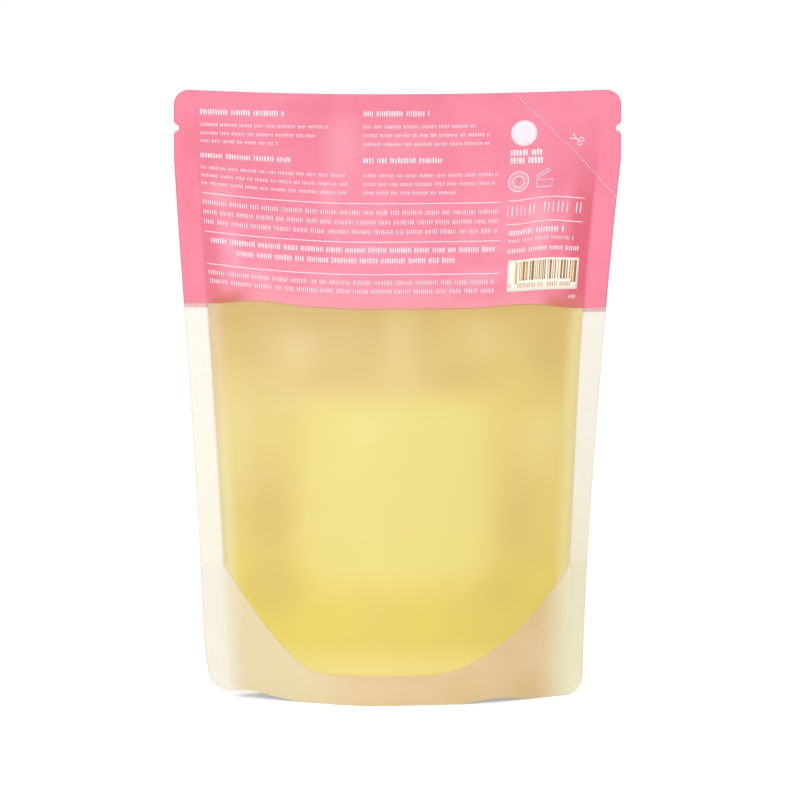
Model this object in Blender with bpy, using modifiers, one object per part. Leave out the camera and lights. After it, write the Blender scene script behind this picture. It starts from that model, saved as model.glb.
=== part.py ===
"""Stand-up refill pouch of liquid hand soap, filled and standing on its bottom gusset.

Two film panels are sealed to each other down both sides and along the top. A third
sheet, the bottom gusset, is folded up between them and sealed to each panel below a
U-shaped line, so that the liquid opens it into a shallow bowl that rests on the table.
The front panel faces +Y and the back panel faces -Y. Units are metres and +Z is up.
"""

import math

import bmesh
import bpy

# Overall size
pack_width = 0.170
pack_height = 0.2328
base_depth = 0.0505

# Film and the plies that lie together in a seal
film = 0.0002
ply_gap = 0.0003

# Seals and die-cut corners
side_seal = 0.0085
gusset_seal = 0.0108
gusset_height = 0.0513
seal_line_shift = 0.004
seal_line_flat_left = 0.40
seal_line_flat_right = 0.12
top_corner_radius = 0.006
bottom_corner_radius = 0.008

# Tear notches
notch_height = 0.0026
notch_depth = 0.0020
notch_drop = 0.0147

# Form of the filled pouch
flat_top = 0.0265
pull_in = 0.0128
top_sag = 0.0030
lift_reach = 0.050
base_shift = 0.0011
side_bow = 0.0006
top_wave = 0.0012
skirt_wave = 0.0009
skirt_wave_length = 0.048
skirt_wave_reach = 0.030
fold_allowance = 0.006
ply_step = 0.018
bowl_dip = 0.003
shape_change_start = 0.070
shape_change_end = 0.165

# The skirt stands clear of the table in two places, and its left corner is drawn in
left_lift = 0.0028
left_lift_place = -0.056
left_lift_spread = 0.012
right_lift = 0.0016
right_lift_place = 0.039
right_lift_spread = 0.010
left_corner_lift = 0.0012
left_corner_power = 12
left_tuck = 0.0022
left_tuck_reach = 0.024
left_tuck_power = 4

# The right-hand side seal is turned back, most of all a little above the table
seal_turn = math.radians(42)
seal_turn_height = 0.045
seal_turn_at_table = 0.85

# Contents, below an air space
headspace = 0.053
soap_clearance = 0.0003
soap_foot_clearance = 0.0012
soap_edge_inset = 0.0015

# Printed band on the upper part of both panels
band_height = 0.082

# Powers that shape the curves
section_shape_low = 2.0
section_shape_high = 3.3
section_power_low = 1.08
section_power_high = 1.2
taper_power = 1.4
taper_fullness = 1.7
narrowing_power = 1.35
seal_line_power_left = 1.5
seal_line_power_right = 2.7
sag_power = 1.5
fold_line_power = 2.6
bowl_power = 2.6
fold_arch_power = 8
edge_crowding = 1.2

# Mesh divisions
seal_columns = 2
half_columns = 12
corner_rows = 5
clear_rows = 13
band_rows = 11
leg_rows = 5
bowl_rows = 12
soap_columns = 22
soap_foot_rows = 6
soap_side_rows = 14
soap_top_rows = 2
cutter_sides = 24

# Worked out from the sizes above
ply_pitch = film + ply_gap
bulge_top = pack_height - flat_top
soap_level = bulge_top - headspace
band_edge = pack_height - band_height
top_radius = min(top_corner_radius, side_seal)
bottom_radius = min(bottom_corner_radius, side_seal)
merge_distance = 0.000001
cutter_length = 0.020


def smooth_step(value):
    """Ease from 0 to 1 as value runs from 0 to 1."""
    value = min(max(value, 0.0), 1.0)
    return value * value * (3 - 2 * value)


def half_width(z):
    """Half of the outer width, which narrows where the filled chamber draws the sides in."""
    height = min(z / bulge_top, 1.0)
    return pack_width / 2 - pull_in * (1 - height ** narrowing_power)


def turn_back(z):
    """Angle by which the right-hand side seal is turned back from the camera's side."""
    easing_up = smooth_step((bulge_top - z) / (bulge_top - seal_turn_height))
    easing_down = seal_turn_at_table + (1 - seal_turn_at_table) * smooth_step(z / seal_turn_height)
    return seal_turn * easing_up * easing_down


def left_reach(z):
    """Distance from the middle to the left-hand seal's inner edge."""
    return half_width(z) - side_seal


def right_reach(z):
    """Distance from the middle to the right-hand seal's inner edge."""
    return half_width(z) - side_seal * math.cos(turn_back(z))


def chamber_half(z):
    """Half of the chamber's width, between the side seals' inner edges."""
    return (left_reach(z) + right_reach(z)) / 2


def corner_cut(z):
    """How far the rounded top and bottom corners cut in from the side edge."""
    below = bottom_radius - z
    above = z - (pack_height - top_radius)
    if below > 0:
        return bottom_radius - math.sqrt(max(bottom_radius ** 2 - below ** 2, 0))
    if above > 0:
        return top_radius - math.sqrt(max(top_radius ** 2 - above ** 2, 0))
    return 0.0


def across_to_x(across, z):
    """X of a point: across is -1 to 1 over the chamber, and 1 to 2 over a side seal."""
    if abs(across) <= 1:
        middle = (right_reach(z) - left_reach(z)) / 2
        return middle + chamber_half(z) * across
    inner = right_reach(z) if across > 0 else left_reach(z)
    facing = math.cos(turn_back(z)) if across > 0 else 1.0
    outer = half_width(z) - corner_cut(z) * facing
    return math.copysign(inner + (outer - inner) * (abs(across) - 1), across)


def bulge(z):
    """How far one panel stands out at the middle of its width."""
    height = min(z / bulge_top, 1.0)
    return base_depth / 2 * (1 - height) ** taper_power * (1 + taper_fullness * height)


def section_powers(z):
    """Two powers of the chamber's section: round low down, flatter in its middle above."""
    change = smooth_step((z - shape_change_start) / (shape_change_end - shape_change_start))
    shape = section_shape_low + (section_shape_high - section_shape_low) * change
    power = section_power_low + (section_power_high - section_power_low) * change
    return shape, power


def section(across, z):
    """Share of the bulge across the chamber, none in the seals."""
    shape, power = section_powers(z)
    return max(1 - abs(across) ** shape, 0.0) ** power


def seal_offset(z):
    """Half the distance between the panels in a seal: four plies low down, two above."""
    above_fold = smooth_step((z - gusset_height - fold_allowance) / ply_step)
    return ply_pitch / 2 + ply_pitch * (1 - above_fold)


def panel_offset(across, z):
    """Distance of a panel's film from the pouch's middle surface."""
    return seal_offset(z) + bulge(z) * section(across, z)


def seal_line(across):
    """Height of the U-shaped line where the gusset leaves the panel, straighter on the left."""
    shift = seal_line_shift / chamber_half(gusset_seal) * max(1 - across * across, 0.0)
    turned = min(max(across + shift, -1.0), 1.0)
    flat = seal_line_flat_left if turned < 0 else seal_line_flat_right
    power = seal_line_power_left if turned < 0 else seal_line_power_right
    rise = (max(abs(turned) - flat, 0.0) / (1 - flat)) ** power
    return gusset_seal + (gusset_height - gusset_seal) * rise


def fold_line(across):
    """Height of the gusset's middle fold, pressed down between the side seals."""
    rise = min(abs(across), 1.0) ** fold_line_power
    return (gusset_height + bowl_dip) * rise - bowl_dip


def bowl_height(across, share):
    """Height of the open gusset, share running from 0 at its middle to 1 at a panel."""
    low = fold_line(across)
    arch = ply_pitch / 2 * math.sqrt(max(1 - share * share, 0.0))
    arch *= min(abs(across), 1.0) ** fold_arch_power
    sagged = low + (seal_line(across) - low) * abs(share) ** bowl_power
    return max(sagged + arch, film / 2)


def skirt_lift(x):
    """How far the skirt's lower edge stands clear of the table."""
    left = left_lift * math.exp(-((x - left_lift_place) / left_lift_spread) ** 2)
    return left + right_lift * math.exp(-((x - right_lift_place) / right_lift_spread) ** 2)


def place(x, y, z):
    """Bend a point of the upright form as the whole pouch is bent."""
    width_share = x / half_width(z)
    rise = z / pack_height
    sag = top_sag * max(1 - width_share ** 2, 0.0) * rise ** sag_power
    lift = skirt_lift(x) + left_corner_lift * max(-width_share, 0.0) ** left_corner_power
    lift *= max(1 - z / lift_reach, 0.0) ** 2
    near_table = max(1 - z / skirt_wave_reach, 0.0) ** 2
    wave = top_wave * math.sin(math.pi * width_share) * rise
    wave += skirt_wave * math.sin(2 * math.pi * x / skirt_wave_length) * near_table
    wave += max(x - right_reach(z), 0.0) * math.tan(turn_back(z))
    height = min(z / bulge_top, 1.0)
    shift = base_shift * (height - 1) - side_bow * (1 - (2 * height - 1) ** 4)
    tuck = left_tuck * max(-width_share, 0.0) ** left_tuck_power
    shift += tuck * max(1 - z / left_tuck_reach, 0.0) ** 2
    return (x + shift, y + wave, z - sag + lift)


def crowded(count):
    """Stations from 0 to 1, closer together towards 1."""
    return [math.sin(edge_crowding * i / count) / math.sin(edge_crowding) for i in range(count + 1)]


def across_stations():
    """Stations over the whole width, from the left edge to the right edge."""
    half = crowded(half_columns)
    half += [1 + (i + 1) / seal_columns for i in range(seal_columns)]
    return [-station for station in reversed(half[1:])] + half


def soap_half(z):
    """Share of the chamber's half width that the liquid reaches before the panels meet it."""
    needed = max(film / 2 + soap_clearance - seal_offset(z), 0.0) / bulge(z)
    shape, power = section_powers(z)
    edge = max(1 - needed ** (1 / power), 0.0) ** (1 / shape)
    return edge * (1 - soap_edge_inset / chamber_half(z))


def corner_heights(radius):
    """Heights up a rounded corner, by equal angles."""
    return [radius * (1 - math.cos(math.pi / 2 * i / corner_rows)) for i in range(corner_rows + 1)]


def spread(start, end, count):
    """Equal steps after start, up to end."""
    return [start + (end - start) * (i + 1) / count for i in range(count)]


def panel_heights():
    """Heights of a panel's rows: the gusset legs' own at first, and one on the band's edge."""
    heights = corner_heights(bottom_radius)
    heights += spread(heights[-1], gusset_height, leg_rows)
    heights += spread(gusset_height, band_edge, clear_rows)
    heights += spread(band_edge, pack_height - top_radius, band_rows)
    top = [pack_height - height for height in reversed(corner_heights(top_radius))]
    return heights + top[1:]


def leg_shares():
    """Shares of the seal line's height up a gusset leg, closer together at the corner."""
    shares = [height / gusset_height for height in corner_heights(bottom_radius)]
    return shares + spread(shares[-1], 1.0, leg_rows)


def mapped_grid(name, columns, rows, point, printed_row=None):
    """A grid of columns by rows whose corners are moved by point(column, row)."""
    mesh = bpy.data.meshes.new(name)
    grid = bmesh.new()
    bmesh.ops.create_grid(grid, x_segments=columns, y_segments=rows, size=1.0)
    if printed_row is not None:
        for face in grid.faces:
            row = (face.calc_center_median().y + 1) / 2 * rows
            face.material_index = int(row > printed_row)
    for vertex in grid.verts:
        column = round((vertex.co.x + 1) / 2 * columns)
        row = round((vertex.co.y + 1) / 2 * rows)
        vertex.co = point(column, row)
    grid.to_mesh(mesh)
    grid.free()
    return mesh


def add_object(name, mesh, collection, materials):
    """Place a mesh in the pouch's collection, shaded smooth."""
    piece = bpy.data.objects.new(name, mesh)
    collection.objects.link(piece)
    for material in materials:
        mesh.materials.append(material)
    mesh.shade_smooth()
    return piece


def add_thickness(piece, even):
    """Give an open sheet the film's thickness, half to each side, even at folds or drawn in."""
    solid = piece.modifiers.new("film", "SOLIDIFY")
    solid.thickness = film
    solid.offset = 0.0
    solid.use_even_offset = even


def make_panel(name, side, collection, materials, cutters):
    """One face of the pouch: side is -1 for the back and 1 for the front."""
    stations = across_stations()
    heights = panel_heights()

    def point(column, row):
        across = stations[column]
        z = heights[row]
        return place(across_to_x(across, z), side * panel_offset(across, z), z)

    band_row = corner_rows + leg_rows + clear_rows
    mesh = mapped_grid(name, len(stations) - 1, len(heights) - 1, point, band_row)
    piece = add_object(name, mesh, collection, materials)
    add_thickness(piece, even=True)
    for cutter in cutters:
        cut = piece.modifiers.new("tear_notch", "BOOLEAN")
        cut.operation = "DIFFERENCE"
        cut.object = cutter
    return piece


def make_gusset(collection, material):
    """The folded bottom sheet: a leg down inside each panel, and the open bowl between them."""
    stations = across_stations()
    legs = leg_shares()
    leg_count = len(legs) - 1
    angles = spread(-math.pi / 2, math.pi / 2, bowl_rows)
    profile = [(-1, share) for share in legs]
    profile += [(math.sin(angle), None) for angle in angles[:-1]]
    profile += [(1, share) for share in reversed(legs)]

    def point(column, row):
        across = stations[column]
        share, up = profile[row]
        if up is None:
            z = bowl_height(across, share)
            reach = panel_offset(across, seal_line(across)) - ply_pitch
        else:
            z = seal_line(across) * up
            reach = panel_offset(across, z) - ply_pitch
        return place(across_to_x(across, z), share * reach, z)

    rows = 2 * leg_count + bowl_rows
    mesh = mapped_grid("bottom_gusset", len(stations) - 1, rows, point)
    piece = add_object("bottom_gusset", mesh, collection, [material])
    add_thickness(piece, even=False)
    return piece


def make_soap(collection, material):
    """The liquid: it fills the chamber up to its level and lies in the gusset's bowl."""
    foot_angles = [0.0] + spread(0.0, math.pi / 2, soap_foot_rows)
    foot = [(math.sin(angle), 0.0) for angle in foot_angles]
    sides = [(1.0, up) for up in spread(0.0, 1.0, soap_side_rows)]
    top = [(share, 1.0) for share in spread(1.0, 0.0, soap_top_rows)]
    profile = foot + sides + top
    foot_half = soap_half(gusset_height)
    level = soap_level + top_sag

    def point(column, row):
        angle = math.pi * column / soap_columns
        across = math.cos(angle) * foot_half
        facing = 0.0 if column % soap_columns == 0 else math.copysign(1.0, math.sin(angle))
        share, up = profile[row]
        foot_edge = bowl_height(across, 1.0) + soap_foot_clearance
        edge = foot_edge + (level - foot_edge) * up
        z = edge if up else bowl_height(across, share) + soap_foot_clearance
        across = math.cos(angle) * min(soap_half(edge), foot_half)
        reach = panel_offset(across, edge) - film / 2 - soap_clearance
        x, y, height = place(across_to_x(across, z), facing * share * reach, z)
        return (x, y, soap_level if up == 1.0 else height)

    mesh = mapped_grid("liquid_soap", 2 * soap_columns, len(profile) - 1, point)
    form = bmesh.new()
    form.from_mesh(mesh)
    bmesh.ops.remove_doubles(form, verts=form.verts, dist=merge_distance)
    bmesh.ops.recalc_face_normals(form, faces=form.faces)
    form.to_mesh(mesh)
    form.free()
    return add_object("liquid_soap", mesh, collection, [material])


def make_notch_cutter(name, side, collection):
    """A U-shaped slot through both panels at one side edge."""
    radius = notch_height / 2
    height = pack_height - notch_drop
    mesh = bpy.data.meshes.new(name)
    slot = bmesh.new()
    bmesh.ops.create_cone(
        slot, cap_ends=True, segments=cutter_sides,
        radius1=radius, radius2=radius, depth=cutter_length)
    for vertex in slot.verts:
        vertex.co = (vertex.co.x, vertex.co.z, -vertex.co.y)
        if vertex.co.x * side > 0:
            vertex.co.x += side * notch_depth
    slot.to_mesh(mesh)
    slot.free()
    cutter = bpy.data.objects.new(name, mesh)
    edge = place(side * half_width(height), 0.0, height)
    cutter.location = (edge[0] - side * (notch_depth - radius), edge[1], edge[2])
    cutter.hide_render = True
    cutter.display_type = "WIRE"
    collection.objects.link(cutter)
    return cutter


def make_material(name, colour, roughness, alpha=1.0):
    """A plain surface colour for one kind of film or for the liquid."""
    material = bpy.data.materials.new(name)
    material.use_nodes = True
    shader = material.node_tree.nodes["Principled BSDF"]
    shader.inputs["Base Color"].default_value = (*colour, 1.0)
    shader.inputs["Roughness"].default_value = roughness
    shader.inputs["Metallic"].default_value = 0.0
    shader.inputs["Alpha"].default_value = alpha
    return material


def make_collection(name):
    """A new collection in the scene."""
    collection = bpy.data.collections.new(name)
    bpy.context.scene.collection.children.link(collection)
    return collection


def build():
    """Clear the scene and make the whole pouch."""
    for old in list(bpy.data.objects):
        bpy.data.objects.remove(old, do_unlink=True)

    pouch = make_collection("hand_soap_refill_pack")
    cutting = make_collection("cutters")

    frosted = make_material("frosted_film", (0.90, 0.84, 0.70), 0.35, alpha=0.45)
    band = make_material("pink_printed_film", (0.95, 0.27, 0.38), 0.35)
    liquid = make_material("soap_liquid", (0.80, 0.64, 0.20), 0.25)

    cutters = [
        make_notch_cutter("left_notch_cutter", -1, cutting),
        make_notch_cutter("right_notch_cutter", 1, cutting),
    ]
    make_panel("back_panel", -1, pouch, [frosted, band], cutters)
    make_panel("front_panel", 1, pouch, [frosted, band], cutters)
    make_gusset(pouch, frosted)
    make_soap(pouch, liquid)


build()
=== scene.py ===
"""Looks of a filled stand-up refill pouch of liquid hand soap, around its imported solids.

The pouch's form is worked out by the same functions as its solids, on finer grids and with
the soft relief of the film. Units are metres, +Z is up and the back panel faces -Y.
"""

import math
import random

import bmesh
import bpy
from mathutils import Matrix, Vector, noise


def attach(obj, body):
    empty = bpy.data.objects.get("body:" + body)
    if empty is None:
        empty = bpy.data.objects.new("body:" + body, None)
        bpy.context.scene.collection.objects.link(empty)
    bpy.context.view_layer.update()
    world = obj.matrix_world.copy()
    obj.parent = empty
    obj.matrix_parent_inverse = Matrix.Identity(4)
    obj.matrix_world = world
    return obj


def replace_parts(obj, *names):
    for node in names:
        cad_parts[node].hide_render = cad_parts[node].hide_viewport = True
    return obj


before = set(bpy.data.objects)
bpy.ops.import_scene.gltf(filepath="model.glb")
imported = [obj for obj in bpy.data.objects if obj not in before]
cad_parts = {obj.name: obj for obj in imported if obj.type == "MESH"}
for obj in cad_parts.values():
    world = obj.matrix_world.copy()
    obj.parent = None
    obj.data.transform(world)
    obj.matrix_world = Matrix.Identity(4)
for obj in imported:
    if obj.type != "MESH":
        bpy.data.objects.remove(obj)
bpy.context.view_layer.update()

# Camera, fitted to the photograph
image_width = 800
sensor_width = 36.0
metres_per_pixel = 0.000382
camera_distance = 2.2
camera_elevation = math.radians(6.0)
camera_aim = (0.00095, 0.0, 0.1140)

# Overall size
pack_width = 0.170
pack_height = 0.2328
base_depth = 0.0505

# Film and the plies that lie together in a seal
film = 0.0002
ply_gap = 0.0003

# Seals and die-cut corners
side_seal = 0.0085
top_seal = 0.0078
gusset_seal = 0.0108
gusset_height = 0.0513
seal_line_shift = 0.004
top_corner_radius = 0.006
bottom_corner_radius = 0.008

# Tear notches
notch_height = 0.0026
notch_depth = 0.0020
notch_drop = 0.0147

# Form of the filled pouch
flat_top = 0.0265
pull_in = 0.0128
top_sag = 0.0020
lift_reach = 0.050
base_shift = 0.0011
side_bow = 0.0006
top_wave = 0.0012
skirt_wave = 0.0009
skirt_wave_length = 0.048
skirt_wave_reach = 0.030
fold_allowance = 0.006
ply_step = 0.018
bowl_dip = 0.003
shape_change_start = 0.070
shape_change_end = 0.165

# The skirt stands clear of the table in two places: rise, place across and reach
skirt_lifts = ((0.0028, -0.056, 0.012), (0.0016, 0.039, 0.010))

# Its left corner is drawn in and up
left_corner_lift = 0.0012
left_corner_power = 12
left_tuck = 0.0022
left_tuck_reach = 0.024
left_tuck_power = 4

# The right-hand side seal is turned back, most of all a little above the table
seal_turn = math.radians(42)
seal_turn_height = 0.045
seal_turn_at_table = 0.85

# Contents, below an air space
headspace = 0.053
soap_clearance = 0.00012
soap_foot_clearance = 0.0006
soap_edge_inset = 0.0004
soap_rim_clearance = 0.0001

# Printed band on the upper part of both panels
band_height = 0.082
front_band_drop = 0.0017
band_curve_reach = 0.030

# The U-shaped line's flat share and power on each side
seal_line_left = (0.40, 1.5)
seal_line_right = (0.12, 2.7)

# The section's two powers low down and high up
section_low = (2.0, 1.08)
section_high = (3.3, 1.2)

# Powers that shape the curves
taper_power = 1.4
taper_fullness = 1.7
narrowing_power = 1.35
sag_power = 1.5
fold_line_power = 2.6
bowl_power = 2.6
fold_arch_power = 8
edge_crowding = 1.2

# Soft relief of the film: deeper where no liquid holds it taut, and puffed beside the seals
relief_slack = 0.0011
relief_taut = 0.00025
relief_size = 0.034
relief_stretch = 0.8
relief_edge_power = 6
relief_seed = 5.3
slack_start = 0.045
slack_reach = 0.06
fine_relief_share = 0.5
fine_relief_scale = 2.2
fine_relief_shift = (3.1, 1.7, 0.4)
ripple_depth = 0.0005
ripple_size = 0.040
ripple_seed = 9.1
seam_puff = 0.00018
top_puff_reach = 0.0025
side_puff_slope = 24

# Mesh divisions
half_columns = 74
seal_columns = 9
corner_rows = 8
clear_rows = 130
band_rows = 60
notch_rows = 8
top_rows = 6
notch_step = 0.00006
leg_rows = 20
bowl_rows = 44
soap_columns = 120
soap_foot_rows = 26
soap_side_rows = 110
soap_top_rows = 10

# Ink on the back panel
ink_thickness = 0.00005
ink_lift = 0.00006
ink_step = 0.002

# Worked out from the sizes above
ply_pitch = film + ply_gap
bulge_top = pack_height - flat_top
soap_level = bulge_top - headspace
band_edge = pack_height - band_height
top_radius = min(top_corner_radius, side_seal)
bottom_radius = min(bottom_corner_radius, side_seal)
notch_radius = notch_height / 2
notch_middle = pack_height - notch_drop
flat_half = pack_width / 2 - side_seal
merge_distance = 0.000001
sharp_angle = math.radians(50)


def ease(value):
    """Ease from 0 to 1 as value runs from 0 to 1."""
    value = min(max(value, 0.0), 1.0)
    return value * value * (3 - 2 * value)


def half_width(z):
    """Half of the outer width, which narrows where the filled chamber draws the sides in."""
    height = min(z / bulge_top, 1.0)
    return pack_width / 2 - pull_in * (1 - height ** narrowing_power)


def turn_back(z):
    """Angle by which the right-hand side seal is turned back from the camera's side."""
    easing_up = ease((bulge_top - z) / (bulge_top - seal_turn_height))
    easing_down = seal_turn_at_table + (1 - seal_turn_at_table) * ease(z / seal_turn_height)
    return seal_turn * easing_up * easing_down


def left_reach(z):
    """Distance from the middle to the left-hand seal's inner edge."""
    return half_width(z) - side_seal


def right_reach(z):
    """Distance from the middle to the right-hand seal's inner edge."""
    return half_width(z) - side_seal * math.cos(turn_back(z))


def chamber_half(z):
    """Half of the chamber's width, between the side seals' inner edges."""
    return (left_reach(z) + right_reach(z)) / 2


def corner_cut(z):
    """How far the rounded top and bottom corners cut in from the side edge."""
    below = bottom_radius - z
    above = z - (pack_height - top_radius)
    if below > 0:
        return bottom_radius - math.sqrt(max(bottom_radius ** 2 - below ** 2, 0))
    if above > 0:
        return top_radius - math.sqrt(max(top_radius ** 2 - above ** 2, 0))
    return 0.0


def notch_cut(z):
    """How far a tear notch cuts in from the side edge."""
    away = abs(z - notch_middle)
    if away >= notch_radius:
        return 0.0
    return notch_depth - notch_radius + math.sqrt(notch_radius ** 2 - away ** 2)


def across_to_x(across, z, notched=False):
    """X of a point: across is -1 to 1 over the chamber, and 1 to 2 over a side seal."""
    if abs(across) <= 1:
        middle = (right_reach(z) - left_reach(z)) / 2
        return middle + chamber_half(z) * across
    inner = right_reach(z) if across > 0 else left_reach(z)
    facing = math.cos(turn_back(z)) if across > 0 else 1.0
    outer = half_width(z) - corner_cut(z) * facing
    if notched:
        outer -= notch_cut(z)
    return math.copysign(inner + (outer - inner) * (abs(across) - 1), across)


def bulge(z):
    """How far one panel stands out at the middle of its width."""
    height = min(z / bulge_top, 1.0)
    return base_depth / 2 * (1 - height) ** taper_power * (1 + taper_fullness * height)


def section_powers(z):
    """Two powers of the chamber's section: round low down, flatter in its middle above."""
    change = ease((z - shape_change_start) / (shape_change_end - shape_change_start))
    return [low + (high - low) * change for low, high in zip(section_low, section_high)]


def section(across, z):
    """Share of the bulge across the chamber, none in the seals."""
    shape, power = section_powers(z)
    return max(1 - abs(across) ** shape, 0.0) ** power


def seal_offset(z):
    """Half the distance between the panels in a seal: four plies low down, two above."""
    above_fold = ease((z - gusset_height - fold_allowance) / ply_step)
    return ply_pitch / 2 + ply_pitch * (1 - above_fold)


def relief(across, z, side):
    """Soft swells of one panel's film: none in the seals, and small where liquid holds it taut."""
    inside = max(1 - abs(across) ** relief_edge_power, 0.0)
    slack = ease((z - soap_level + slack_start) / slack_reach)
    depth = relief_taut + (relief_slack - relief_taut) * slack
    depth *= min(bulge(z) / (2 * relief_slack), 1.0)
    sideways = across * flat_half / relief_size
    spot = Vector((sideways, z / relief_size * relief_stretch, side * relief_seed))
    fine = noise.noise(spot * fine_relief_scale + Vector(fine_relief_shift))
    value = noise.noise(spot) + fine_relief_share * fine
    below_seam = ease((pack_height - top_seal - z) / top_puff_reach)
    puff = seam_puff * below_seam * ease((1 - abs(across)) * side_puff_slope)
    puff *= ease((z - gusset_height) / ply_step)
    return depth * inside * value + puff


def panel_offset(across, z, side=-1):
    """Distance of a panel's film from the pouch's middle surface."""
    return seal_offset(z) + bulge(z) * section(across, z) + relief(across, z, side)


def seal_line(across):
    """Height of the U-shaped line where the gusset leaves the panel, straighter on the left."""
    shift = seal_line_shift / chamber_half(gusset_seal) * max(1 - across * across, 0.0)
    turned = min(max(across + shift, -1.0), 1.0)
    flat, power = seal_line_left if turned < 0 else seal_line_right
    rise = (max(abs(turned) - flat, 0.0) / (1 - flat)) ** power
    return gusset_seal + (gusset_height - gusset_seal) * rise


def fold_line(across):
    """Height of the gusset's middle fold, pressed down between the side seals."""
    rise = min(abs(across), 1.0) ** fold_line_power
    return (gusset_height + bowl_dip) * rise - bowl_dip


def bowl_height(across, share):
    """Height of the open gusset, share running from 0 at its middle to 1 at a panel."""
    low = fold_line(across)
    arch = ply_pitch / 2 * math.sqrt(max(1 - share * share, 0.0))
    arch *= min(abs(across), 1.0) ** fold_arch_power
    sagged = low + (seal_line(across) - low) * abs(share) ** bowl_power
    return max(sagged + arch, film / 2)


def ripple(x, z):
    """Slow waves that both plies share, also in the seals."""
    spot = Vector((x / ripple_size, z / ripple_size, ripple_seed))
    return ripple_depth * noise.noise(spot) * ease(z / gusset_height)


def skirt_lift(x):
    """How far the skirt's lower edge stands clear of the table."""
    return sum(rise * math.exp(-((x - at) / reach) ** 2) for rise, at, reach in skirt_lifts)


def place(x, y, z):
    """Bend a point of the upright form as the whole pouch is bent."""
    width_share = x / half_width(z)
    rise = z / pack_height
    sag = top_sag * max(1 - width_share ** 2, 0.0) * rise ** sag_power
    lift = skirt_lift(x) + left_corner_lift * max(-width_share, 0.0) ** left_corner_power
    lift *= max(1 - z / lift_reach, 0.0) ** 2
    near_table = max(1 - z / skirt_wave_reach, 0.0) ** 2
    wave = top_wave * math.sin(math.pi * width_share) * rise
    wave += skirt_wave * math.sin(2 * math.pi * x / skirt_wave_length) * near_table
    wave += max(x - right_reach(z), 0.0) * math.tan(turn_back(z))
    wave += ripple(x, z)
    height = min(z / bulge_top, 1.0)
    shift = base_shift * (height - 1) - side_bow * (1 - (2 * height - 1) ** 4)
    tuck = left_tuck * max(-width_share, 0.0) ** left_tuck_power
    shift += tuck * max(1 - z / left_tuck_reach, 0.0) ** 2
    return (x + shift, y + wave, z - sag + lift)


def flat_x(across):
    """Place across the flat film, from its middle."""
    size = abs(across)
    if size <= 1:
        return flat_half * across
    return math.copysign(flat_half + side_seal * (size - 1), across)


def across_of(x):
    """The station that lies at x on the flat film."""
    size = abs(x)
    if size <= flat_half:
        return x / flat_half
    return math.copysign(1 + (size - flat_half) / side_seal, x)


def crowded(count):
    """Stations from 0 to 1, closer together towards 1."""
    return [math.sin(edge_crowding * i / count) / math.sin(edge_crowding) for i in range(count + 1)]


def across_stations():
    """Stations over the whole width, from the left edge to the right edge."""
    half = crowded(half_columns)
    half += [1 + (i + 1) / seal_columns for i in range(seal_columns)]
    return [-station for station in reversed(half[1:])] + half


def corner_heights(radius):
    """Heights up a rounded corner, by equal angles."""
    return [radius * (1 - math.cos(math.pi / 2 * i / corner_rows)) for i in range(corner_rows + 1)]


def spread(start, end, count):
    """Equal steps after start, up to end."""
    return [start + (end - start) * (i + 1) / count for i in range(count)]


def notch_heights():
    """Heights through a tear notch, doubled where its straight sides are."""
    angles = [math.pi * i / notch_rows for i in range(notch_rows + 1)]
    heights = [notch_middle - notch_radius * math.cos(angle) for angle in angles]
    heights[0] += notch_step
    heights[-1] -= notch_step
    return [notch_middle - notch_radius] + heights + [notch_middle + notch_radius]


def panel_heights(edge):
    """Heights of a panel's rows, with one on its band's edge at that height."""
    notch = notch_heights()
    heights = corner_heights(bottom_radius)
    heights += spread(heights[-1], edge, clear_rows)
    heights += spread(edge, notch[0], band_rows) + notch[1:]
    top = [pack_height - height for height in reversed(corner_heights(top_radius))]
    heights += spread(notch[-1], top[0], top_rows)
    return heights + top[1:]


def mapped_grid(columns, rows, station):
    """A grid whose station(column, row) gives a point and its place on the film."""
    grid = bmesh.new()
    bmesh.ops.create_grid(grid, x_segments=columns, y_segments=rows, size=1.0)
    layers = {label: grid.verts.layers.float.new(label) for label in film_values(0.0, soap_level)}
    for vertex in grid.verts:
        column = round((vertex.co.x + 1) / 2 * columns)
        row = round((vertex.co.y + 1) / 2 * rows)
        vertex.co, across, z = station(column, row)
        for label, value in film_values(across, z).items():
            vertex[layers[label]] = value
    return grid


def add_object(name, data):
    """A new object in the scene's collection."""
    made = bpy.data.objects.new(name, data)
    bpy.context.scene.collection.objects.link(made)
    return made


def add_form(name, form):
    """A new object with the form as its mesh."""
    mesh = bpy.data.meshes.new(name)
    form.to_mesh(mesh)
    form.free()
    return add_object(name, mesh)


def add_piece(name, form, materials):
    """Place a form as a piece of the pouch, shaded smooth."""
    piece = add_form(name, form)
    for material in materials:
        piece.data.materials.append(material)
    piece.data.shade_smooth()
    piece.data.set_sharp_from_angle(angle=sharp_angle)
    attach(piece, "root")
    return piece


def add_thickness(piece, thickness):
    """Give an open sheet its thickness, half to each side."""
    solid = piece.modifiers.new("film", "SOLIDIFY")
    solid.thickness = thickness
    solid.offset = 0.0
    solid.use_even_offset = True
    return piece


# Rise of the band's lower edge where the film is drawn up or down: place across, and rise
band_edge_curve = [
    (-0.0850, 0.0004), (-0.0765, 0.0007), (-0.0550, 0.0025),
    (-0.0330, 0.0006), (-0.0150, 0.0000), (0.0250, 0.0000),
    (0.0530, 0.0012), (0.0765, -0.0012), (0.0850, -0.0014),
]


def band_edge_rise(x):
    """How much higher the band's edge lies at that place across the flat film."""
    for (start, low), (end, high) in zip(band_edge_curve, band_edge_curve[1:]):
        if x <= end:
            return low + (high - low) * ease((x - start) / (end - start))
    return band_edge_curve[-1][1]


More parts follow.
